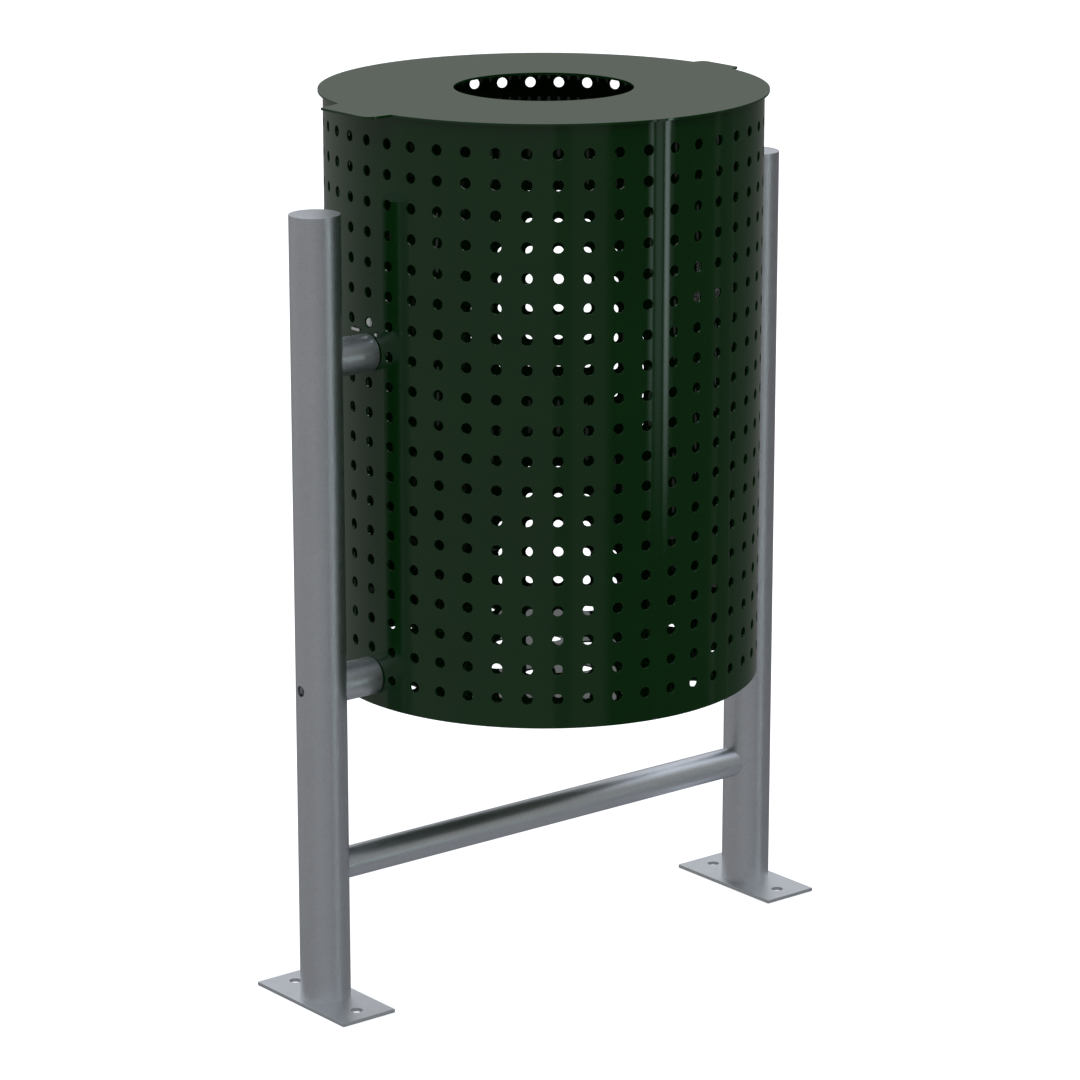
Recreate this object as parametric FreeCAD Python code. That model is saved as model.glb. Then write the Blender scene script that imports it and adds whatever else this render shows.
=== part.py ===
"""A tilting litter bin: a perforated sheet-steel drum that swings between two galvanised posts.

Millimetres. X runs from one post to the other, -Y is the side that the drum tips towards, +Z is up.
The origin is on the ground, midway between the posts. Side -1 is the post at -X and side +1 the
post at +X. The two sides are the same pieces turned half a turn about Z, apart from the lock and
the size of the lid's grips.
"""

import FreeCAD, Part

import math
import os

from FreeCAD import Vector

os.makedirs("parts", exist_ok=True)

UP = Vector(0, 0, 1)
ALONG_X = Vector(1, 0, 0)
ORIGIN = Vector(0, 0, 0)
QUARTER_TURN = 90.0
HALF_TURN = 180.0
FULL_TURN = 360.0
SIDES = {-1: "left", 1: "right"}

# Drum
drum_radius = 220.0
sheet = 2.0
drum_bottom = 300.0
hole_radius = 5.5
hole_rise = 30.0
hole_rows = 19
hole_columns = 46
floor_height = 308.0
floor_gap = 0.4
floor_hole_radius = 12.0
floor_hole_rings = {60.0: 8, 180.0: 10}

# Lid
lid_top = 900.0
lid_sheet = 2.5
lid_overhang = 5.0
mouth_radius = 90.0
ring_clearance = 1.5
ring_sheet = 2.5
ring_depth = 18.0
grip_reach = {-1: 24.0, 1: 11.5}
grip_half_width = {-1: 41.0, 1: 30.0}
grip_round = {-1: 11.0, 1: 8.0}
grip_back_spread = 6.0
grip_back_slope = 13.0
grip_root_depth = 15.0

# Posts, feet and crossbar
post_spacing = 565.0
post_radius = 25.4
post_wall = 2.6
post_top = 805.0
cap_thickness = 3.0
cap_chamfer = 0.6
plate_across = 64.0
plate_along = 148.0
plate_thickness = 4.0
anchor_spacing = 105.0
anchor_radius = 6.0
crossbar_radius = 15.9
crossbar_wall = 2.0
crossbar_height = 140.0

# Stub arms, level with rows of the drum's holes
stub_radius = 19.0
stub_wall = 2.6
lower_height = drum_bottom + hole_rise
rows_between_stubs = 11
upper_height = lower_height + rows_between_stubs * hole_rise
stub_gap = 0.5
plug_recess = 0.5
plug_length = 12.0

# Pivots
pin_radius = 5.0
pin_reach = 4.5
running_gap = 0.05
bracket_sheet = 3.0
bracket_inset = 3.8
bracket_drop = 20.0
tongue_half_width = 11.0
tongue_rise = 44.0
ledge_rise = 18.6
wide_ledge = (13.2, 26.0)
narrow_ledge = (-15.8, -12.2)
ledge_reach = 1.5
dome_radius = 5.2
dome_rise = 3.6
dome_round = 2.5
slot_margin = 0.6
bush_wall = 2.0
bush_flange_radius = 10.0
bush_flange = 2.0
bush_nose = 0.8
washer_gap = 0.3
washer_thickness = 1.6
washer_radius = 10.0
bolt_head_height = 6.4
bolt_head_flats = 16.0

# Lock, in the lower stub at -X
key_hole_radius = 5.5
guide_radius = 8.0
guide_wall = 1.7
guide_setback = 1.6
lock_face_gap = 1.5
lock_back_wall = 2.0
lock_front_wall = 5.2
lock_travel = 8.0
key_head_length = 9.0
key_head_radius = 5.0
key_head_depth = 8.5
spindle_radius = 4.0
collar_radius = 6.0
collar_length = 2.7
lock_body_half = 6.5
lock_body_length = 17.5
lock_body_gap = 0.15
lock_bore_gap = 0.3
lock_bore_depth = 14.5
cross_pin_radius = 1.5
cross_pin_half_length = 6.0
cross_pin_setback = 3.5
cross_slot_gap = 0.4
shaft_past_pin = 0.7
cross_slot_cuts = 12
bolt_reach = 5.5
keeper_radius = 12.0
keeper_thickness = 3.0
keeper_gap = 0.4
lock_back_gap = 0.1
lock_end_gap = 0.3

# How far a cutting tool runs past the face it cuts, and the limits of two tests
overcut = 5.0
sewing_gap = 1e-4
upright_limit = 0.5

# Where these put things
post_x = post_spacing / 2
post_face = post_x - post_radius
drum_inside = drum_radius - sheet
lid_underside = lid_top - lid_sheet
stub_end = drum_radius + stub_gap
stub_inside = stub_radius - stub_wall
bracket_face = drum_radius - bracket_inset
bracket_back = bracket_face - bracket_sheet
washer_face = bracket_back - bush_flange - washer_gap
ledge_bottom = upper_height + ledge_rise
ledge_top = ledge_bottom + bracket_sheet
lock_front = stub_end + lock_face_gap
lock_cavity_front = lock_front + lock_front_wall
lock_back = post_face - lock_back_gap
lock_body_front = lock_cavity_front + lock_end_gap
lock_body_back = lock_body_front + lock_body_length
cross_pin_place = lock_body_back - cross_pin_setback


def write(name, shape):
    """Write one piece to its own file, named after the piece."""
    if not shape.isValid():
        raise ValueError(name + " is not a valid solid")
    shape.exportStep("parts/" + name + ".step")


def rod(radius, near, far, height, side=-1):
    """A round bar along X at a height, between two distances from the drum's middle."""
    return Part.makeCylinder(radius, far - near, Vector(near * side, 0, height), ALONG_X * side)


def pipe(outer, inner, near, far, height, side=-1):
    """A round tube along X."""
    bore = rod(inner, near - overcut, far + overcut, height, side)
    return rod(outer, near, far, height, side).cut(bore)


def block(x_range, y_range, z_range):
    """A box between two values on each axis, in either order."""
    spans = [sorted(pair) for pair in (x_range, y_range, z_range)]
    corner = Vector(*[low for low, high in spans])
    return Part.makeBox(*[high - low for low, high in spans], corner)


def turned(shape, side):
    """The piece at +X is the piece at -X turned half a turn about Z."""
    if side == 1:
        shape.rotate(ORIGIN, UP, HALF_TURN)
    return shape


# ---------------------------------------------------------------- the standing frame


def post_core(side):
    """The solid cylinder that a post fills, which every pipe that meets it is cut to."""
    return Part.makeCylinder(post_radius, post_top, Vector(side * post_x, 0, 0), UP)


def post(side):
    """A steel tube from its foot plate to its cap. The -X one is drilled for the lock."""
    base = Vector(side * post_x, 0, plate_thickness)
    height = post_top - cap_thickness - plate_thickness
    tube = Part.makeCylinder(post_radius, height, base, UP)
    tube = tube.cut(Part.makeCylinder(post_radius - post_wall, height, base, UP))
    if side == -1:
        tube = tube.cut(rod(key_hole_radius, post_x, post_x + 2 * post_radius, lower_height))
        tube = tube.cut(rod(guide_radius, post_face - overcut, post_x, lower_height))
    return tube


def post_cap(side):
    """A flat disc welded on top of a post, its upper edge eased."""
    base = Vector(side * post_x, 0, post_top - cap_thickness)
    disc = Part.makeCylinder(post_radius, cap_thickness, base, UP)
    rims = [edge for edge in disc.Edges if edge.BoundBox.ZMin > post_top - cap_chamfer]
    return disc.makeChamfer(cap_chamfer, rims)


def base_plate(side):
    """A foot plate, longer from front to back, with an anchor hole at each end."""
    across = (side * post_x - plate_across / 2, side * post_x + plate_across / 2)
    plate = block(across, (-plate_along / 2, plate_along / 2), (0, plate_thickness))
    for end in (-1, 1):
        at = Vector(side * post_x, end * anchor_spacing / 2, 0)
        plate = plate.cut(Part.makeCylinder(anchor_radius, plate_thickness, at, UP))
    return plate


def crossbar():
    """The tube near the ground that ties the posts, its ends cut to fit round them."""
    bar = rod(crossbar_radius, -post_x, post_x, crossbar_height)
    bar = bar.cut(rod(crossbar_radius - crossbar_wall, -post_x, post_x, crossbar_height))
    for side in SIDES:
        bar = bar.cut(post_core(side))
    return bar


def stub(side, height):
    """A short arm from a post towards the drum, its outer end cut to fit round the post."""
    arm = pipe(stub_radius, stub_inside, stub_end, post_x, height, side)
    return arm.cut(post_core(side))


def end_plug(side, height, bore):
    """A steel disc welded just inside the drum end of a stub."""
    near = stub_end + plug_recess
    plug = rod(stub_inside, near, near + plug_length, height, side)
    if bore:
        plug = plug.cut(rod(bore, near, near + plug_length, height, side))
    return plug


# ---------------------------------------------------------------- the pivots


def polygon_bar(sides, corner_radius, length, near):
    """A bar along X with this many equal sides, centred on the X axis, one corner at the top."""
    corners = []
    for corner in range(sides + 1):
        angle = math.radians(FULL_TURN * corner / sides)
        corners.append(Vector(near, corner_radius * math.sin(angle), corner_radius * math.cos(angle)))
    return Part.Face(Part.makePolygon(corners)).extrude(ALONG_X * length)


def pivot_pin(side):
    """A hex-headed bolt, screwed into the plug from inside the drum."""
    under_head = washer_face - washer_thickness
    shank_end = stub_end + plug_recess + plug_length + pin_reach
    shank = rod(pin_radius, under_head, shank_end, upper_height)
    head = polygon_bar(6, bolt_head_flats / math.sqrt(3), bolt_head_height, -under_head)
    head.translate(UP * upper_height)
    return turned(shank.fuse(head).removeSplitter(), side)


def pivot_washer(side):
    """A flat washer under the bolt's head."""
    near = washer_face - washer_thickness
    return pipe(washer_radius, pin_radius + running_gap, near, washer_face, upper_height, side)


def pivot_bush(side):
    """A flanged plastic bush pressed into the bracket, which turns on the bolt."""
    bore_radius = pin_radius + running_gap
    front = bracket_back - bush_flange
    nose = bracket_face + bush_nose
    flange = rod(bush_flange_radius, front, bracket_back, upper_height, side)
    bush = flange.fuse(rod(bore_radius + bush_wall, bracket_back, nose, upper_height, side))
    return bush.cut(rod(bore_radius, front, nose, upper_height, side)).removeSplitter()


def pressed_dome():
    """The round boss pressed out of the bracket's middle finger, which sits in a hole of the wall."""
    height = upper_height + hole_rise
    boss = rod(dome_radius, bracket_face, bracket_face + dome_rise, height)
    rims = [edge for edge in boss.Edges if edge.BoundBox.XMax < -bracket_face - dome_rise + dome_round]
    return boss.makeFillet(dome_round, rims)


def pivot_bracket(side):
    """A sheet bracket inside the drum that carries the bush.

    Its top edge has three fingers: the middle one stands up against the wall with its dome in a
    hole, and the outer two are bent outwards through slots in the wall.
    """
    thick = (-bracket_face, -bracket_back)
    body_y = (narrow_ledge[0], wide_ledge[1])
    bracket = block(thick, body_y, (upper_height - bracket_drop, ledge_top))
    tongue_y = (-tongue_half_width, tongue_half_width)
    bracket = bracket.fuse(block(thick, tongue_y, (upper_height, upper_height + tongue_rise)))
    bracket = bracket.fuse(pressed_dome())
    for span in (wide_ledge, narrow_ledge):
        finger_x = (-drum_radius - ledge_reach, -bracket_face)
        bracket = bracket.fuse(block(finger_x, span, (ledge_bottom, ledge_top)))
    bore = rod(pin_radius + running_gap + bush_wall, bracket_back, bracket_face, upper_height)
    return turned(bracket.cut(bore).removeSplitter(), side)


# ---------------------------------------------------------------- the drum


def ledge_slots():
    """The slots in the drum's wall for the brackets' bent fingers."""
    slots = []
    slot_x = (-drum_radius - overcut, -bracket_face)
    slot_z = (ledge_bottom - slot_margin, ledge_top + slot_margin)
    for side in SIDES:
        for low, high in (wide_ledge, narrow_ledge):
            slot_y = (low - slot_margin / 2, high + slot_margin / 2)
            slots.append(turned(block(slot_x, slot_y, slot_z), side))
    return slots


def wall_strip():
    """One column of the drum's wall, as wide as the holes' pitch round the drum."""
    width = FULL_TURN / hole_columns
    height = lid_underside - drum_bottom
    strip = Part.makeCylinder(drum_radius, height, Vector(0, 0, drum_bottom), UP, width)
    strip = strip.cut(Part.makeCylinder(drum_inside, height, Vector(0, 0, drum_bottom), UP))
    strip.rotate(ORIGIN, UP, HALF_TURN - width / 2)
    cutters = []
    for row in range(hole_rows):
        height = lower_height + row * hole_rise
        cutters.append(rod(hole_radius, drum_inside - overcut, drum_radius + overcut, height))
    return strip.cut(Part.makeCompound(cutters))


def is_strip_side(face):
    """Whether a face of the strip is one of its two upright cut sides."""
    return isinstance(face.Surface, Part.Plane) and abs(face.Surface.Axis.z) < upright_limit


def drum_shell():
    """The rolled and welded wall: one strip of holes repeated all the way round, as one solid.

    The holes at -X and +X, level with the stubs, are the ones that the pivots and the lock use.
    """
    column = [face for face in wall_strip().Faces if not is_strip_side(face)]
    faces = []
    for place in range(hole_columns):
        for face in column:
            copy = face.copy()
            copy.rotate(ORIGIN, UP, place * FULL_TURN / hole_columns)
            faces.append(copy)
    skin = Part.makeCompound(faces)
    skin.sewShape(sewing_gap)
    shell = Part.Solid(skin.Shells[0])
    for slot in ledge_slots():
        shell = shell.cut(slot)
    return shell


def drum_floor():
    """A flat disc welded inside the wall, a little above its bottom edge, with rings of drain holes."""
    disc = Part.makeCylinder(drum_inside - floor_gap, sheet, Vector(0, 0, floor_height), UP)
    drills = []
    for ring_radius, holes in floor_hole_rings.items():
        for hole in range(holes):
            angle = math.radians(FULL_TURN * hole / holes)
            x = ring_radius * math.cos(angle)
            y = ring_radius * math.sin(angle)
            place = Vector(x, y, floor_height)
            drills.append(Part.makeCylinder(floor_hole_radius, sheet, place, UP))
    return disc.cut(Part.makeCompound(drills))


def lock_keeper():
    """A ring welded inside the wall round the hole that the lock's bolt enters."""
    face = drum_inside - keeper_gap
    return pipe(keeper_radius, hole_radius, face - keeper_thickness, face, lower_height)


# ---------------------------------------------------------------- the lid


def grip(side):
    """A flat ear on the lid's edge: one end is cut square, the other is rounded."""
    reach = drum_radius + lid_overhang + grip_reach[side]
    half = grip_half_width[side]
    bend = grip_round[side]
    root = drum_radius + lid_overhang - grip_root_depth
    middle = bend * math.sqrt(0.5)
    points = {
        "root_back": Vector(-root, half + grip_back_spread, 0),
        "corner": Vector(-reach, half + grip_back_spread - grip_back_slope, 0),
        "bend_start": Vector(-reach, bend - half, 0),
        "bend_middle": Vector(bend - middle - reach, bend - middle - half, 0),
        "bend_end": Vector(bend - reach, -half, 0),
        "root_front": Vector(-root, -half, 0),
    }
    edges = [
        Part.makeLine(points["root_back"], points["corner"]),
        Part.makeLine(points["corner"], points["bend_start"]),
        Part.Arc(points["bend_start"], points["bend_middle"], points["bend_end"]).toShape(),
        Part.makeLine(points["bend_end"], points["root_front"]),
        Part.makeLine(points["root_front"], points["root_back"]),
    ]
    ear = Part.Face(Part.Wire(edges)).extrude(UP * lid_sheet)
    ear.translate(UP * lid_underside)
    return turned(ear, side)


def lid_plate():
    """A flat disc with a round mouth and two grips, which rests on the drum's top edge."""
    base = Vector(0, 0, lid_underside)
    disc = Part.makeCylinder(drum_radius + lid_overhang, lid_sheet, base, UP)
    for side in SIDES:
        disc = disc.fuse(grip(side))
    disc = disc.cut(Part.makeCylinder(mouth_radius, lid_sheet, base, UP))
    return disc.removeSplitter()


def lid_ring():
    """A hoop of flat strip welded under the lid, which drops inside the drum and centres it."""
    outer = drum_inside - ring_clearance
    base = Vector(0, 0, lid_underside - ring_depth)
    ring = Part.makeCylinder(outer, ring_depth, base, UP)
    return ring.cut(Part.makeCylinder(outer - ring_sheet, ring_depth, base, UP))


# ---------------------------------------------------------------- the lock


def lock_housing():
    """A turned barrel fixed in the stub, with a square bore for the bolt's body."""
    case = rod(stub_inside, lock_front, lock_back, lower_height)
    half = lock_body_half + lock_body_gap
    square = ((-half, half), (lower_height - half, lower_height + half))
    cavity_back = lock_back - lock_back_wall
    nose_bore = rod(pin_radius + 2 * running_gap, lock_front, lock_cavity_front, lower_height)
    spindle_bore = rod(spindle_radius + 2 * running_gap, cavity_back, lock_back, lower_height)
    cavity = block((-lock_cavity_front, -cavity_back), *square)
    return case.cut([cavity, nose_bore, spindle_bore])


def lock_guide():
    """A sleeve across the inside of the post that guides the key to the spindle."""
    inner = guide_radius - guide_wall
    outer_end = post_x + post_radius - post_wall - guide_setback
    return pipe(guide_radius, inner, lock_back, outer_end, lower_height)


def lock_spindle():
    """The turned shaft with a three-sided head that the key fits."""
    head_far = post_x + post_radius - key_head_depth
    head_near = head_far - key_head_length
    head = polygon_bar(3, key_head_radius, key_head_length, -head_far)
    head.translate(UP * lower_height)
    shaft_start = cross_pin_place - cross_pin_radius - shaft_past_pin
    shaft = rod(spindle_radius, shaft_start, head_near, lower_height)
    collar_start = lock_back + lock_end_gap
    collar = rod(collar_radius, collar_start, collar_start + collar_length, lower_height)
    return head.fuse([shaft, collar]).cut(lock_cross_pin()).removeSplitter()


def lock_cross_pin():
    """The pin through the spindle that rides in the bolt's slots."""
    base = Vector(-cross_pin_place, 0, lower_height - cross_pin_half_length)
    return Part.makeCylinder(cross_pin_radius, 2 * cross_pin_half_length, base, UP)


def lock_bolt():
    """The sliding bolt: a round nose on a square body.

    The body is hollow and takes the spindle's end. Two slots wind a quarter turn round it, so
    turning the spindle draws the bolt back.
    """
    half = lock_body_half
    body_z = (lower_height - half, lower_height + half)
    body = block((-lock_body_back, -lock_body_front), (-half, half), body_z)
    bolt = body.fuse(rod(pin_radius, drum_radius - bolt_reach, lock_body_front, lower_height))
    bore_start = lock_body_back - lock_bore_depth
    bolt = bolt.cut(rod(spindle_radius + lock_bore_gap, bore_start, lock_body_back, lower_height))
    for cut in range(cross_slot_cuts + 1):
        part_way = cut / cross_slot_cuts
        place = Vector(part_way * lock_travel - cross_pin_place, 0, lower_height)
        slot = Part.makeCylinder(cross_pin_radius + cross_slot_gap, 4 * half, place - UP * 2 * half, UP)
        slot.rotate(place, ALONG_X, part_way * QUARTER_TURN)
        bolt = bolt.cut(slot)
    return bolt


# ---------------------------------------------------------------- write every piece

for side, word in SIDES.items():
    write(word + "_base_plate", base_plate(side))
    write(word + "_post", post(side))
    write(word + "_post_cap", post_cap(side))
    write(word + "_lower_stub", stub(side, lower_height))
    write(word + "_upper_stub", stub(side, upper_height))
    write(word + "_pivot_plug", end_plug(side, upper_height, pin_radius))
    write(word + "_pivot_pin", pivot_pin(side))
    write(word + "_pivot_washer", pivot_washer(side))
    write(word + "_pivot_bush", pivot_bush(side))
    write(word + "_pivot_bracket", pivot_bracket(side))

write("crossbar", crossbar())
write("right_stub_plug", end_plug(1, lower_height, 0))
write("lock_housing", lock_housing())
write("lock_guide", lock_guide())
write("lock_spindle", lock_spindle())
write("lock_cross_pin", lock_cross_pin())
write("lock_bolt", lock_bolt())
write("lock_keeper", lock_keeper())
write("drum_shell", drum_shell())
write("drum_floor", drum_floor())
write("lid_plate", lid_plate())
write("lid_ring", lid_ring())
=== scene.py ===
import math

import bmesh
import bpy
import numpy as np
from mathutils import Matrix, Vector


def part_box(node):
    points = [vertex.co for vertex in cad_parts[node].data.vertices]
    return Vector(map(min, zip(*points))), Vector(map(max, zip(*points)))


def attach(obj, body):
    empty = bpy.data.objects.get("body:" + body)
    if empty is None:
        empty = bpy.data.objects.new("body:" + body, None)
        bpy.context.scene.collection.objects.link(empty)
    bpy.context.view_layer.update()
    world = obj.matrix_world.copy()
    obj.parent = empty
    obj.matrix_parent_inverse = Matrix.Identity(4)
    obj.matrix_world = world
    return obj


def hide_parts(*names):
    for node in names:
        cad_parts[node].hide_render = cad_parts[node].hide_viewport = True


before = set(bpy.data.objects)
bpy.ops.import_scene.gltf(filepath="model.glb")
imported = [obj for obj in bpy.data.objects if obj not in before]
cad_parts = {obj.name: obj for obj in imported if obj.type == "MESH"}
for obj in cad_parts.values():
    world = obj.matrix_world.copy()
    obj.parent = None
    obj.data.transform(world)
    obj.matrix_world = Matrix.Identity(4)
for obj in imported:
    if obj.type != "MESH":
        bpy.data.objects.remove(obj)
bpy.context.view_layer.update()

# ---------------------------------------------------------------- foot plates
# Two flats of 4 mm steel that stand on the paving, longer from front to back than across, with an
# anchor hole near each end. They are cut and drilled, welded under the posts and dipped in zinc
# with them, which rounds their edges a little and leaves a fine frosted grain all over.

MM = 0.001
SIDES = ("left", "right")
anchor_radius = 6 * MM
anchor_spacing = 105 * MM
plate_edge = 0.5 * MM
hole_steps = 32
rim_turn = math.radians(50)
crisp_turn = math.radians(38)
pattern_middle = 0.5
dull_zinc = (0.60, 0.62, 0.65, 1.0)
pale_zinc = (0.86, 0.88, 0.91, 1.0)


def pick(sockets, name):
    """The socket with this place or name, out of the ones that the node uses."""
    if isinstance(name, int):
        return sockets[name]
    return next(socket for socket in sockets if socket.enabled and socket.name == name)


class Wire:
    """One value on its way through a finish. Sums written on it add Math nodes."""

    def __init__(self, finish, socket):
        self.finish = finish
        self.socket = socket

    def sum(self, operation, first, second):
        return self.finish.node("Math", {"operation": operation}, {0: first, 1: second})

    def __add__(self, other):
        return self.sum("ADD", self, other)

    def __sub__(self, other):
        return self.sum("SUBTRACT", self, other)

    def __mul__(self, other):
        return self.sum("MULTIPLY", self, other)

    __radd__ = __add__


class Finish:
    """The nodes of a material or of the studio's surroundings. Each one is added by node()."""

    def __init__(self, holder):
        holder.use_nodes = True
        self.holder = holder
        self.tree = holder.node_tree
        self.tree.nodes.clear()

    def node(self, kind, settings, values, output=0):
        node = self.tree.nodes.new("ShaderNode" + kind)
        for name, setting in settings.items():
            if name == "stops":
                stops = node.color_ramp.elements
                while len(stops) < len(setting):
                    stops.new(1.0)
                for stop, (place, tone) in zip(stops, setting):
                    stop.position = place
                    stop.color = (tone, tone, tone, 1.0)
            else:
                setattr(node, name, setting)
        for name, value in values.items():
            socket = pick(node.inputs, name)
            if isinstance(value, Wire):
                self.tree.links.new(value.socket, socket)
            else:
                socket.default_value = value
        return Wire(self, pick(node.outputs, output)) if node.outputs else None


def varied(value, *patterns):
    """A value that each pattern pushes up or down by its share."""
    for pattern, share in patterns:
        value = value + (pattern - pattern_middle) * share
    return value


def blend(add, part, first, second):
    """A colour between two others."""
    return add("Mix", {"data_type": "RGBA"}, {"Factor": part, "A": first, "B": second}, "Result")


galvanised_steel = Finish(bpy.data.materials.new("galvanised_steel"))
add = galvanised_steel.node
place = add("TexCoord", {}, {}, "Object")
crystal = add("TexVoronoi", {}, {"Vector": place, "Scale": 210.0}, "Color")
crystal = add("SeparateColor", {}, {"Color": crystal}, "Red")
frost = add("TexNoise", {}, {"Vector": place, "Scale": 760.0, "Detail": 2.0, "Roughness": 0.6})
cloud = add("TexNoise", {}, {"Vector": place, "Scale": 22.0, "Detail": 4.0})
run_place = add("Mapping", {}, {"Vector": place, "Scale": (1.0, 1.0, 0.06)})
runs = add("TexNoise", {}, {"Vector": run_place, "Scale": 90.0, "Detail": 2.0})
paleness = varied(0.5, (frost, 0.9), (crystal, 0.1), (cloud, 0.25), (runs, 0.12))
zinc = blend(add, paleness, dull_zinc, pale_zinc)
rough = varied(0.37, (frost, 0.12), (crystal, 0.03), (cloud, 0.05))
grain = add("Bump", {}, {"Strength": 0.75, "Distance": 0.0002, "Height": frost}, "Normal")
shine = add(
    "BsdfPrincipled",
    {},
    {"Base Color": zinc, "Metallic": 1.0, "Roughness": rough, "Normal": grain},
)
add("OutputMaterial", {}, {"Surface": shine})


def ease(bm, edges, width, steps=2):
    """Round these edges over."""
    bmesh.ops.bevel(
        bm,
        geom=edges,
        offset=width,
        offset_type="OFFSET",
        segments=steps,
        profile=0.5,
        affect="EDGES",
        material=-1,
        clamp_overlap=True,
    )


def rims(bm):
    """The edges where the surface turns sharply."""
    return [e for e in bm.edges if len(e.link_faces) == 2 and e.calc_face_angle() > rim_turn]


def corners_of(geom):
    """The vertices out of a list of a mesh's parts."""
    return [part for part in geom if isinstance(part, bmesh.types.BMVert)]


def make_piece(bm, name, finish, body, nodes):
    """Make the worked mesh a finished piece that stands for these nodes.

    Its flat faces shade as flat, and its eased edges blend into them.
    """
    mesh = bpy.data.meshes.new(name)
    bm.to_mesh(mesh)
    bm.free()
    mesh.shade_smooth()
    mesh.set_sharp_from_angle(angle=crisp_turn)
    mesh.materials.append(finish.holder)
    made = bpy.data.objects.new(name, mesh)
    bpy.context.scene.collection.objects.link(made)
    flats = made.modifiers.new("true_flats", "WEIGHTED_NORMAL")
    flats.keep_sharp = True
    worked = made.evaluated_get(bpy.context.evaluated_depsgraph_get())
    made.data = bpy.data.meshes.new_from_object(worked)
    made.modifiers.clear()
    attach(made, body)
    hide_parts(*nodes)
    return made


def cut_sheet(bm, thickness, bottom):
    """Fill the outlines drawn in bm, leaving the inner ones open, and give the sheet its thickness."""
    bmesh.ops.triangle_fill(bm, edges=bm.edges[:], use_beauty=True, use_dissolve=False)
    raised = bmesh.ops.extrude_face_region(bm, geom=bm.faces[:])["geom"]
    bmesh.ops.translate(bm, verts=corners_of(raised), vec=(0, 0, thickness))
    bmesh.ops.translate(bm, verts=bm.verts[:], vec=(0, 0, bottom))
    bmesh.ops.recalc_face_normals(bm, faces=bm.faces[:])


for side in SIDES:
    low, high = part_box(side + "_base_plate")
    middle = (low + high) / 2
    bm = bmesh.new()
    bmesh.ops.create_grid(bm, x_segments=1, y_segments=1, size=0.5)
    bmesh.ops.scale(bm, verts=bm.verts[:], vec=(high.x - low.x, high.y - low.y, 1))
    bmesh.ops.delete(bm, geom=bm.faces[:], context="FACES_ONLY")
    for end in (-1, 1):
        at = Matrix.Translation((0, end * anchor_spacing / 2, 0))
        bmesh.ops.create_circle(bm, segments=hole_steps, radius=anchor_radius, matrix=at)
    bmesh.ops.translate(bm, verts=bm.verts[:], vec=(middle.x, middle.y, 0))
    cut_sheet(bm, high.z - low.z, low.z)
    ease(bm, rims(bm), plate_edge)
    plate = [side + "_base_plate"]
    make_piece(bm, side + "_foot_plate", galvanised_steel, "frame", plate)

# ---------------------------------------------------------------- posts and their caps
# Two 50.8 mm steel tubes, each closed by a disc that is welded on and ground flush. The left one
# is drilled through its outer wall for the key.

cap_edge = 0.6 * MM
cap_bend = 0.3 * cap_edge
round_steps = 96
same_point = 0.01 * MM


def dress(finish, *nodes):
    """Give nodes whose shape stays their finish."""
    for node in nodes:
        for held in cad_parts[node].material_slots:
            held.material = finish.holder


def draw_loop(bm, outline):
    """Draw a closed outline through these points."""
    corners = [bm.verts.new(corner) for corner in outline]
    for first, second in zip(corners, corners[1:] + corners[:1]):
        bm.edges.new((first, second))


def spin_piece(outline, axis, centre, steps):
    """A closed outline turned once round an axis."""
    bm = bmesh.new()
    draw_loop(bm, outline)
    bmesh.ops.spin(
        bm,
        geom=bm.verts[:] + bm.edges[:],
        cent=centre,
        axis=axis,
        angle=2 * math.pi,
        steps=steps,
        use_merge=True,
        use_duplicate=False,
    )
    bmesh.ops.remove_doubles(bm, verts=bm.verts[:], dist=same_point)
    bmesh.ops.recalc_face_normals(bm, faces=bm.faces[:])
    return bm


dress(galvanised_steel, "left_post", "right_post")
for side in SIDES:
    low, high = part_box(side + "_post_cap")
    middle = (low + high) / 2
    outline = [
        (middle.x, middle.y, low.z),
        (high.x, middle.y, low.z),
        (high.x, middle.y, high.z - cap_edge),
        (high.x - cap_bend, middle.y, high.z - cap_bend),
        (high.x - cap_edge, middle.y, high.z),
        (middle.x, middle.y, high.z),
    ]
    bm = spin_piece(outline, (0, 0, 1), middle, round_steps)
    cap = [side + "_post_cap"]
    make_piece(bm, side + "_post_top", galvanised_steel, "frame", cap)

# ---------------------------------------------------------------- crossbar and stub arms
# A 32 mm tube near the ground ties the posts, and four short lengths of 38 mm tube reach from them
# to the drum. Their ends are cut to fit round the posts and welded there before the dip.

dress(galvanised_steel, "crossbar", "right_stub_plug")
for side in SIDES:
    dress(galvanised_steel, side + "_lower_stub", side + "_upper_stub", side + "_pivot_plug")

# ---------------------------------------------------------------- pivots
# A hexagon-headed bolt goes from inside the drum through a washer and a nylon bush into the plug
# of each upper stub. The bush sits in a bracket of 3 mm sheet with three fingers: the outer two come
# out through slots in the wall, and the middle one stands against it, pressed out into a hole.

plating_dark = (0.78, 0.79, 0.80, 1.0)
plating_light = (0.92, 0.92, 0.90, 1.0)
resin_dark = (0.012, 0.012, 0.013, 1.0)
resin_light = (0.03, 0.03, 0.032, 1.0)
bracket_sheet = 3 * MM
bush_radius = 7.05 * MM
pivot_height = 660 * MM
tongue_half = 11 * MM
narrow_finger = (-15.8 * MM, -12.2 * MM)
wide_finger = (13.2 * MM, 26 * MM)
finger_height = 678.6 * MM
dome_radius = 5.2 * MM
dome_rise = 3.6 * MM
dome_round = 2.5 * MM
dome_round_steps = 5
dome_height = 690 * MM
bracket_edge = 0.4 * MM

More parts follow.
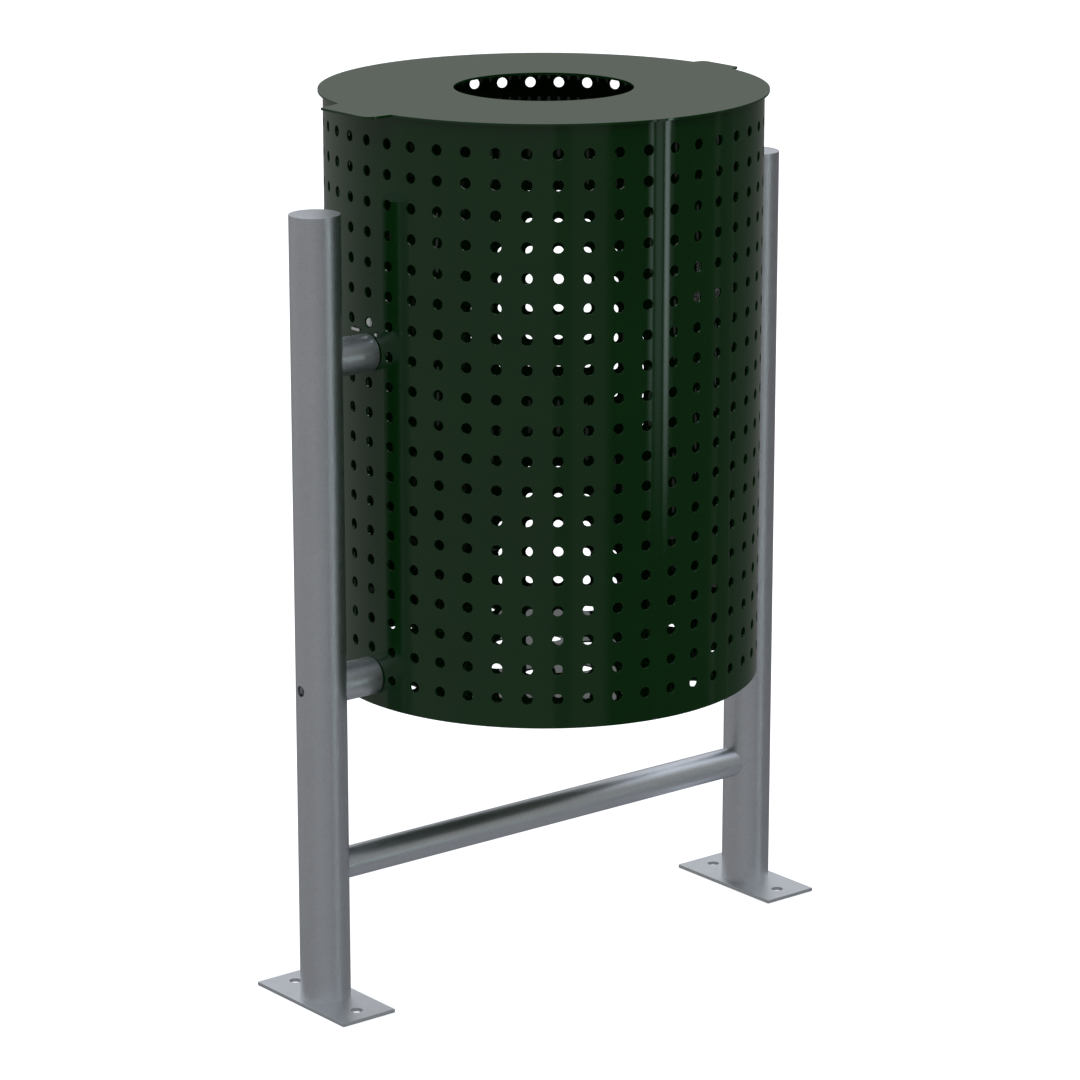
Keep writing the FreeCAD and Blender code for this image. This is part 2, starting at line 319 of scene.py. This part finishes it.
bright_zinc = Finish(bpy.data.materials.new("bright_zinc"))
add = bright_zinc.node
place = add("TexCoord", {}, {}, "Object")
lathe = add("TexNoise", {}, {"Vector": place, "Scale": 1400.0, "Detail": 2.0})
patch = add("TexNoise", {}, {"Vector": place, "Scale": 120.0, "Detail": 3.0})
plating = blend(add, patch, plating_dark, plating_light)
fine = add("Bump", {}, {"Strength": 0.25, "Distance": 0.0001, "Height": lathe}, "Normal")
shine = add(
    "BsdfPrincipled",
    {},
    {"Base Color": plating, "Metallic": 1.0, "Roughness": 0.22 + patch * 0.12, "Normal": fine},
)
add("OutputMaterial", {}, {"Surface": shine})

black_nylon = Finish(bpy.data.materials.new("black_nylon"))
add = black_nylon.node
place = add("TexCoord", {}, {}, "Object")
flow = add("TexNoise", {}, {"Vector": place, "Scale": 500.0, "Detail": 3.0})
resin = blend(add, flow, resin_dark, resin_light)
pores = add("Bump", {}, {"Strength": 0.3, "Distance": 0.0001, "Height": flow}, "Normal")
shine = add(
    "BsdfPrincipled",
    {},
    {"Base Color": resin, "Roughness": varied(0.42, (flow, 0.2)), "Normal": pores},
)
add("OutputMaterial", {}, {"Surface": shine})


def slab(bm, low, high):
    """Add a block between two corners."""
    corners = bmesh.ops.create_cube(bm, size=1)["verts"]
    bmesh.ops.scale(bm, verts=corners, vec=high - low)
    bmesh.ops.translate(bm, verts=corners, vec=(low + high) / 2)


for side in SIDES:
    dress(bright_zinc, side + "_pivot_pin", side + "_pivot_washer")
    dress(black_nylon, side + "_pivot_bush")

    low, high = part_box(side + "_pivot_bracket")
    back = min(abs(low.x), abs(high.x))
    reach = max(abs(low.x), abs(high.x))
    face = back + bracket_sheet
    outline = [
        (narrow_finger[0], low.z),
        (wide_finger[1], low.z),
        (wide_finger[1], finger_height),
        (tongue_half, finger_height),
        (tongue_half, high.z),
        (-tongue_half, high.z),
        (-tongue_half, finger_height),
        (narrow_finger[0], finger_height),
    ]
    bm = bmesh.new()
    draw_loop(bm, [(across, height, 0) for across, height in outline])
    at = Matrix.Translation((0, pivot_height, 0))
    bmesh.ops.create_circle(bm, segments=hole_steps, radius=bush_radius, matrix=at)
    cut_sheet(bm, bracket_sheet, -face)
    on_edge = Matrix(((0, 0, 1), (1, 0, 0), (0, 1, 0)))
    bmesh.ops.rotate(bm, verts=bm.verts[:], matrix=on_edge)
    for span in (narrow_finger, wide_finger):
        near = Vector((-reach, span[0], finger_height))
        slab(bm, near, Vector((-back, span[1], finger_height + bracket_sheet)))
    ease(bm, rims(bm), bracket_edge)
    dome_at = Matrix.Translation((-face - dome_rise / 2, 0, dome_height))
    bmesh.ops.create_cone(
        bm,
        cap_ends=True,
        segments=hole_steps,
        radius1=dome_radius,
        radius2=dome_radius,
        depth=dome_rise,
        matrix=dome_at @ Matrix.Rotation(-math.pi / 2, 4, "Y"),
    )
    dome_end = -face - dome_rise + bracket_edge
    dome_rim = [e for e in rims(bm) if all(v.co.x < dome_end for v in e.verts)]
    ease(bm, dome_rim, dome_round, dome_round_steps)
    if side == "right":
        bmesh.ops.rotate(bm, verts=bm.verts[:], matrix=Matrix.Rotation(math.pi, 3, "Z"))
    bracket = [side + "_pivot_bracket"]
    make_piece(bm, side + "_bracket", bright_zinc, "drum", bracket)

# ---------------------------------------------------------------- lock
# In the left lower stub a square bolt slides into the drum's wall. A three-sided key, put through
# the hole in the post, turns the spindle that draws it back. The parts are turned and zinc plated.

dress(bright_zinc, "lock_housing", "lock_guide", "lock_spindle", "lock_cross_pin", "lock_bolt")

# ---------------------------------------------------------------- drum wall
# A band of 2 mm steel sheet, punched all over with 11 mm holes, rolled round and welded. It is
# powder coated dark green, which flows smooth and glossy and rounds the lip of each hole.

hole_radius = 5.5 * MM
hole_rise = 30 * MM
hole_rows = 19
hole_columns = 46
hole_sides = 16
first_row = 30 * MM
hole_lip = 0.3 * MM
wall_sheet = 2 * MM
rim_edge = 0.5 * MM
wide_slot = (12.9 * MM, 26.3 * MM)
narrow_slot = (-16.1 * MM, -11.9 * MM)
slot_height = (678 * MM, 682.2 * MM)
slot_reach = 25 * MM
slot_snap = 0.001 * MM
sheet_facing = 0.95
shortest = 1e-9
deep_green = (0.0034, 0.037, 0.0052, 1.0)
fresh_green = (0.0050, 0.050, 0.0074, 1.0)

green_paint = Finish(bpy.data.materials.new("green_paint"))
add = green_paint.node
place = add("TexCoord", {}, {}, "Object")
flow = add("TexNoise", {}, {"Vector": place, "Scale": 260.0, "Detail": 1.0})
sway = add("TexNoise", {}, {"Vector": place, "Scale": 9.0, "Detail": 2.0})
dust = add("TexNoise", {}, {"Vector": place, "Scale": 45.0, "Detail": 5.0, "Roughness": 0.6})
coat = blend(add, varied(0.5, (sway, 0.8), (dust, 0.5)), deep_green, fresh_green)
peel = add("Bump", {}, {"Strength": 0.05, "Distance": 0.0001, "Height": flow}, "Normal")
shine = add(
    "BsdfPrincipled",
    {},
    {"Base Color": coat, "Roughness": 0.008 + dust * 0.012, "IOR": 1.45, "Normal": peel},
)
add("OutputMaterial", {}, {"Surface": shine})

low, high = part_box("drum_shell")
drum_radius = high.x
column_width = 2 * math.pi * drum_radius / hole_columns


def draw_out(bm, edges, shape, depth):
    """Extrude a loop of edges and put the new corners where shape and depth say."""
    new = bmesh.ops.extrude_edge_only(bm, edges=edges)["geom"]
    for corner in corners_of(new):
        corner.co = shape(corner.co)
        corner.co.z = depth
    return [e for e in new if isinstance(e, bmesh.types.BMEdge)]


def to_square(co):
    """From a ring's corner to the edge of its square of sheet."""
    reach = max(abs(co.x), abs(co.y))
    return Vector((co.x / reach * column_width / 2, co.y / reach * hole_rise / 2, 0))


def to_hole(co):
    """From any corner to the wall of the hole."""
    return Vector((co.x, co.y, 0)).normalized() * hole_radius


bm = bmesh.new()
bmesh.ops.create_circle(bm, segments=hole_sides, radius=hole_radius + hole_lip)
lip = bm.edges[:]
draw_out(bm, lip, to_square, 0)
bore_top = draw_out(bm, lip, to_hole, -hole_lip)
bore_bottom = draw_out(bm, bore_top, to_hole, -wall_sheet)
draw_out(bm, bore_bottom, to_square, -wall_sheet)
next_row = Vector((0, hole_rise, 0))
next_column = Vector((column_width, 0, 0))
for count, step in ((hole_rows, next_row), (hole_columns, next_column)):
    pattern = bm.verts[:] + bm.edges[:] + bm.faces[:]
    for times in range(1, count):
        copy = bmesh.ops.duplicate(bm, geom=pattern)["geom"]
        bmesh.ops.translate(bm, verts=corners_of(copy), vec=step * times)
for corner in bm.verts:
    turn = math.pi + corner.co.x / drum_radius
    reach = drum_radius + corner.co.z
    height = low.z + first_row + corner.co.y
    corner.co = (reach * math.cos(turn), reach * math.sin(turn), height)
bmesh.ops.remove_doubles(bm, verts=bm.verts[:], dist=same_point)


def open_edges(bm, low_z, high_z):
    """The edges between two heights that have a face on one side only."""
    return [e for e in bm.edges if e.is_boundary and all(low_z < v.co.z < high_z for v in e.verts)]


def in_wall_end(edge):
    """Whether an edge lies in the lower or the upper end of the wall."""
    return all(min(abs(v.co.z - low.z), abs(v.co.z - high.z)) < same_point for v in edge.verts)


middle_z = (low.z + high.z) / 2
for end_z, span in ((low.z, (0, middle_z)), (high.z, (middle_z, high.z + MM))):
    new = bmesh.ops.extrude_edge_only(bm, edges=open_edges(bm, *span))["geom"]
    for corner in corners_of(new):
        corner.co.z = end_z
    bmesh.ops.bridge_loops(bm, edges=open_edges(bm, *span))
bmesh.ops.recalc_face_normals(bm, faces=bm.faces[:])
ease(bm, [e for e in rims(bm) if in_wall_end(e)], rim_edge)


def within(point, facing, ends, margin):
    """Whether a point is on this side of the drum and in a slot, or as near to it as the margin."""
    return (
        point.x * facing > 0
        and ends[0] - margin < point.y < ends[1] + margin
        and slot_height[0] - margin < point.z < slot_height[1] + margin
    )


for facing in (-1, 1):
    for span in (wide_slot, narrow_slot):
        ends = sorted(-facing * y for y in span)
        cuts = [((0, y, 0), (0, 1, 0)) for y in ends] + [((0, 0, z), (0, 0, 1)) for z in slot_height]
        for at, out in cuts:
            faces = [f for f in bm.faces if all(within(v.co, facing, ends, slot_reach) for v in f.verts)]
            edges = dict.fromkeys(e for f in faces for e in f.edges)
            corners = dict.fromkeys(v for f in faces for v in f.verts)
            round_slot = faces + list(edges) + list(corners)
            bmesh.ops.bisect_plane(bm, geom=round_slot, dist=slot_snap, plane_co=at, plane_no=out)
        inside = [f for f in bm.faces if within(f.calc_center_median(), facing, ends, 0)]
        bmesh.ops.delete(bm, geom=inside, context="FACES")
        bmesh.ops.bridge_loops(bm, edges=[e for e in bm.edges if e.is_boundary])

wall = make_piece(bm, "drum_wall", green_paint, "drum", ["drum_shell"])

# The sheet is rolled true, so its two faces shine as one smooth curve between the holes.
mesh = wall.data
corner_at = np.array([v.co for v in mesh.vertices], float)
loop_corner = np.array([loop.vertex_index for loop in mesh.loops])
loop_face = np.repeat(np.arange(len(mesh.polygons)), [p.loop_total for p in mesh.polygons])
face_normal = np.array([p.normal for p in mesh.polygons], float)[loop_face]
face_centre = np.array([p.center for p in mesh.polygons], float)[loop_face]


def outward(points):
    """Level unit vectors from the drum's axis to these points."""
    flat = points * (1, 1, 0)
    return flat / np.linalg.norm(flat, axis=1)[:, None]


def hole_axis_offset(points):
    """How far each point is from the middle of the nearest hole, round the drum and upwards."""
    turn = np.arctan2(points[:, 1], points[:, 0])
    pitch = 2 * math.pi / hole_columns
    along = (turn - np.round(turn / pitch) * pitch) * drum_radius
    rise = (points[:, 2] - low.z) / hole_rise
    return along, (rise - np.round(rise)) * hole_rise


corners = corner_at[loop_corner]
radial = outward(corners)
facing = np.sum(face_normal * outward(face_centre), axis=1)
along, up = hole_axis_offset(corners)
face_along, face_up = hole_axis_offset(face_centre)
in_hole = (np.hypot(face_along, face_up) < hole_radius + hole_lip) & (np.abs(facing) < sheet_facing)
on_lip = np.hypot(along, up) > hole_radius + hole_lip / 2
around = np.stack([-radial[:, 1], radial[:, 0], np.zeros(len(radial))], axis=1)
inward = -(around * along[:, None] + np.array([0, 0, 1.0]) * up[:, None])
inward /= np.maximum(np.linalg.norm(inward, axis=1), shortest)[:, None]
shading = np.zeros_like(radial)
shading[facing > sheet_facing] = radial[facing > sheet_facing]
shading[facing < -sheet_facing] = -radial[facing < -sheet_facing]
shading[in_hole & on_lip] = radial[in_hole & on_lip]
shading[in_hole & ~on_lip] = inward[in_hole & ~on_lip]
mesh.normals_split_custom_set(shading.tolist())

dress(green_paint, "lock_keeper")

# ---------------------------------------------------------------- drum floor
# A flat disc of the same sheet, punched with two rings of drain holes so that rain runs out, and
# welded inside the wall just above its lower edge.

drain_radius = 12 * MM
drain_rings = ((60 * MM, 8), (180 * MM, 10))
drain_edge = 0.3 * MM

low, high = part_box("drum_floor")
bm = bmesh.new()
bmesh.ops.create_circle(bm, segments=round_steps * 2, radius=high.x)
for ring_radius, holes in drain_rings:
    for hole in range(holes):
        turned = Matrix.Rotation(2 * math.pi * hole / holes, 4, "Z")
        at = turned @ Matrix.Translation((ring_radius, 0, 0))
        bmesh.ops.create_circle(bm, segments=hole_steps, radius=drain_radius, matrix=at)
cut_sheet(bm, high.z - low.z, low.z)
ease(bm, rims(bm), drain_edge)
make_piece(bm, "drum_base", green_paint, "drum", ["drum_floor"])

# ---------------------------------------------------------------- lid
# A flat disc of 2.5 mm sheet with a round mouth, which lies on the drum's top edge. It has an ear
# at each side to lift it by, and a hoop welded under it that drops inside the drum.

mouth_radius = 90 * MM
lid_radius = 225 * MM
lid_edge = 0.35 * MM
ear_half = {"left": 41 * MM, "right": 30 * MM}
ear_round = {"left": 11 * MM, "right": 8 * MM}
ear_back_spread = 6 * MM
ear_back_slope = 13 * MM
ear_bend_steps = 8
ear_root = 210 * MM
lid_steps = 160
half_rim_steps = 70
hoop_sheet = 2.5 * MM

low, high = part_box("lid_plate")
ear_end = {"left": -low.x, "right": high.x}


def where_slope_meets_disc(start, end):
    """The point where an ear's slanted side crosses the disc's edge."""
    step = end - start
    length = step.dot(step)
    along = start.dot(step)
    past = start.dot(start) - lid_radius**2
    return start + step * ((-along + math.sqrt(along * along - length * past)) / length)


def ear_corners(side):
    """An ear's outline from the disc's edge and back to it, as on the left side of the lid."""
    half = ear_half[side]
    bend = ear_round[side]
    end = ear_end[side]
    root = Vector((-ear_root, half + ear_back_spread, 0))
    tip = Vector((-end, half + ear_back_spread - ear_back_slope, 0))
    points = [where_slope_meets_disc(root, tip), tip]
    for step in range(ear_bend_steps + 1):
        turn = step / ear_bend_steps * math.pi / 2
        points.append(Vector((bend - end - bend * math.cos(turn), bend - half - bend * math.sin(turn), 0)))
    points.append(Vector((-math.sqrt(lid_radius**2 - half**2), -half, 0)))
    return points


def arc_between(start, stop, steps):
    """Points on the disc's edge between two others, going round from start to stop."""
    first = math.atan2(start.y, start.x)
    last = math.atan2(stop.y, stop.x)
    if last < first:
        last += 2 * math.pi
    turns = [first + (last - first) * step / steps for step in range(1, steps)]
    return [Vector((lid_radius * math.cos(turn), lid_radius * math.sin(turn), 0)) for turn in turns]


left_ear = ear_corners("left")
right_ear = [-point for point in ear_corners("right")]
front_rim = arc_between(left_ear[-1], right_ear[0], half_rim_steps)
back_rim = arc_between(right_ear[-1], left_ear[0], half_rim_steps)
bm = bmesh.new()
draw_loop(bm, left_ear + front_rim + right_ear + back_rim)
bmesh.ops.create_circle(bm, segments=lid_steps, radius=mouth_radius)
cut_sheet(bm, high.z - low.z, low.z)
ease(bm, rims(bm), lid_edge)
make_piece(bm, "lid", green_paint, "lid", ["lid_plate"])

low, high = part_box("lid_ring")
bm = spin_piece(
    [
        (high.x - hoop_sheet, 0, low.z),
        (high.x, 0, low.z),
        (high.x, 0, high.z),
        (high.x - hoop_sheet, 0, high.z),
    ],
    (0, 0, 1),
    (0, 0, 0),
    lid_steps,
)
ease(bm, rims(bm), lid_edge)
make_piece(bm, "lid_hoop", green_paint, "lid", ["lid_ring"])

# ---------------------------------------------------------------- studio
# The bin stands on a pale floor. The walls round it are grey on the left and nearly black on the
# right, where a few strip lamps stand, and the room is brighter behind the bin and overhead. One
# square lamp hangs above.

floor_radius = 40
floor_steps = 64
floor_glow = 0.74
view_turn = math.radians(-38.811)
view_drop = math.radians(15.228)
ramp_middle = 0.5

# Each pair is where a light starts and stops to fade in, as its direction climbs or turns away.
ground_line = (-0.345, -0.305)
strip_foot = (-0.27, -0.20)
skyline = (-0.05, 0.15)
back_rise = (0.135, 0.33)
back_depth = (0.2, 0.6)
overhead = (0.5, 0.8)

black = (0.0, 0.0, 0.0, 1.0)
ground_light = (0.97, 1.0, 1.07, 1.0)
strip_light = (4.6, 5.5, 5.5, 1.0)
front_light = (0.26, 0.262, 0.255, 1.0)
back_light = (0.62, 0.63, 0.65, 1.0)
overhead_light = (0.90, 0.96, 1.06, 1.0)
backdrop = (0.98, 0.98, 0.98, 1.0)
lamp_place = Vector((1.3, -0.2, 2.6))
lamp_aim = Vector((0, 0, 0.4))

floor_paint = Finish(bpy.data.materials.new("studio_floor"))
add = floor_paint.node
shine = add(
    "BsdfPrincipled",
    {},
    {
        "Base Color": (0.8, 0.8, 0.8, 1.0),
        "Roughness": 0.9,
        "Emission Color": (1.0, 1.0, 1.0, 1.0),
        "Emission Strength": floor_glow,
    },
)
add("OutputMaterial", {}, {"Surface": shine})
bm = bmesh.new()
bmesh.ops.create_circle(bm, cap_ends=True, segments=floor_steps, radius=floor_radius)
mesh = bpy.data.meshes.new("studio_floor")
bm.to_mesh(mesh)
bm.free()
mesh.materials.append(floor_paint.holder)
studio_floor = bpy.data.objects.new("studio_floor", mesh)
bpy.context.scene.collection.objects.link(studio_floor)
studio_floor.visible_glossy = False
studio_floor.visible_diffuse = False
studio_floor.visible_shadow = False

towards_camera = Vector((math.sin(view_turn), -math.cos(view_turn), 0))
camera_right = Vector((math.cos(view_turn), math.sin(view_turn), 0))

world = bpy.data.worlds.new("studio")
bpy.context.scene.world = world
studio = Finish(world)
add = studio.node
way = add("TexCoord", {}, {}, "Generated")
ahead = add("VectorMath", {"operation": "DOT_PRODUCT"}, {0: way, 1: towards_camera}, "Value")
aside = add("VectorMath", {"operation": "DOT_PRODUCT"}, {0: way, 1: camera_right}, "Value")
height = add("SeparateXYZ", {}, {"Vector": way}, "Z")
angle = add("Math", {"operation": "ARCTAN2"}, {0: aside, 1: ahead})
round_turn = angle * (ramp_middle / math.pi) + ramp_middle


def round_the_room(*stops):
    """A grey that changes round the room, from degrees to the right of the camera and brightnesses."""
    places = [(ramp_middle + degrees / 360, tone) for degrees, tone in stops]
    return add("ValToRGB", {"stops": places}, {"Fac": round_turn}, "Color")


def climb(along, start, stop):
    """From 0 to 1 as a value rises between two others."""
    span = {"Value": along, "From Min": start, "From Max": stop, "To Min": 0.0, "To Max": 1.0}
    return add("MapRange", {"interpolation_type": "SMOOTHSTEP"}, span)


walls = round_the_room(
    (-180, 0.14), (-155, 0.19), (-135, 0.28), (-118, 0.32), (-95, 0.31), (-50, 0.29),
    (4, 0.28), (7, 0.17), (13, 0.16), (16, 0.24), (31, 0.22), (36, 0.07),
    (90.2, 0.07), (90.8, 0.14), (91.4, 0.07), (98, 0.07), (102, 0.16), (106, 0.08),
    (115.6, 0.10), (116.4, 0.17), (117.4, 0.10), (139, 0.12), (155, 0.14), (180, 0.14),
)
ground = round_the_room(
    (-180, 0.20), (-120, 0.19), (-60, 0.20), (0, 0.27), (40, 0.30), (75, 0.24), (130, 0.24), (160, 0.20)
)
strips = round_the_room(
    (-180, 0), (55.6, 0), (56.0, 0.08), (56.9, 0.1), (57.1, 0.28), (57.6, 0.28), (58, 0), (59.8, 0.01),
    (60.4, 0.1), (62.6, 0.13), (63.4, 0.1), (63.8, 0.2), (64.4, 0.2), (64.7, 0), (65.5, 0), (65.9, 0.55),
    (66.6, 0.6), (67.0, 0.25), (67.3, 0.5), (67.9, 0.5), (68.3, 0.05), (70.6, 0.03), (71, 0),
)
ground = blend(add, ground, black, ground_light)
walls = blend(add, strips * climb(height, *strip_foot), walls, strip_light)
walls = blend(add, climb(height, *ground_line), ground, walls)
behind = climb(height, *back_rise) * climb(ahead * -1, *back_depth)
upper = blend(add, behind, front_light, back_light)
upper = blend(add, climb(height, *overhead), upper, overhead_light)
sky = blend(add, climb(height, *skyline), walls, upper)
seen = add("LightPath", {}, {}, "Is Camera Ray")
glow = add("Background", {}, {"Color": blend(add, seen, sky, backdrop), "Strength": 1.0})
add("OutputWorld", {}, {"Surface": glow})

lamp_data = bpy.data.lights.new("side_lamp", "AREA")
lamp_data.shape = "SQUARE"
lamp_data.size = 0.5
lamp_data.energy = 3
side_lamp = bpy.data.objects.new("side_lamp", lamp_data)
side_lamp.location = lamp_place
side_lamp.rotation_euler = (lamp_place - lamp_aim).to_track_quat("Z", "Y").to_euler()
bpy.context.scene.collection.objects.link(side_lamp)

# ---------------------------------------------------------------- camera
# A camera with a long lens stands to the left of the front, well above the lid, and looks down at
# the middle of the bin.

camera_distance = 4.271
aim = Vector((-0.0028, 0.0024, 0.4323))
lens_data = bpy.data.cameras.new("camera")
lens_data.lens = 138.97
lens_data.sensor_width = 36
camera = bpy.data.objects.new("camera", lens_data)
back = towards_camera * math.cos(view_drop)
back.z = math.sin(view_drop)
camera.location = aim + back * camera_distance
camera.rotation_euler = back.to_track_quat("Z", "Y").to_euler()
bpy.context.scene.collection.objects.link(camera)
bpy.context.scene.camera = camera
bpy.context.scene.view_settings.view_transform = "Standard"

bpy.context.view_layer.update()
